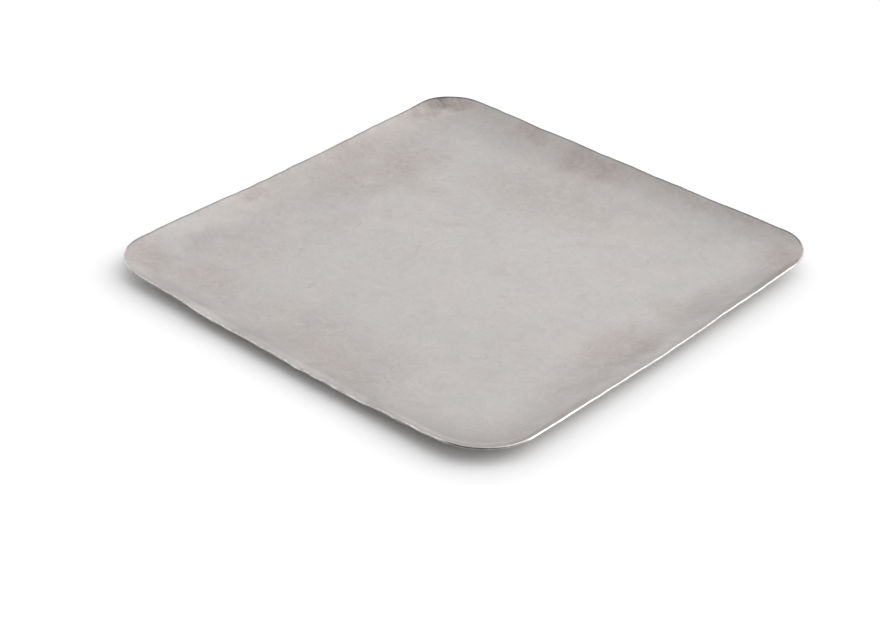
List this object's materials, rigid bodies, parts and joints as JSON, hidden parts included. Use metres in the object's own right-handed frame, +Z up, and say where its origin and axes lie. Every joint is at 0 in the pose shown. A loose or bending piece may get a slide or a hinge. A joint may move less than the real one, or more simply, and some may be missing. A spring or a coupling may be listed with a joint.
{
  "type": "pill counting tray",
  "caption": "Shallow square counting tray pressed from one metal sheet, with rounded corners and a low upturned rim; pills are spread and counted on its flat floor.",
  "frame": {"origin": "centre of the flat underside, on the surface the tray stands on", "axes": "+Z up, out of the tray's open side; X and Y parallel to the tray's sides"},
  "size_m": [0.2536, 0.254, 0.0106],
  "materials": {
    "sheet_metal": "satin stainless steel with a light cloudy patina; brighter along the cut edge"
  },
  "bodies": {
    "root": {"tray": "sheet_metal"}
  },
  "joints": []
}
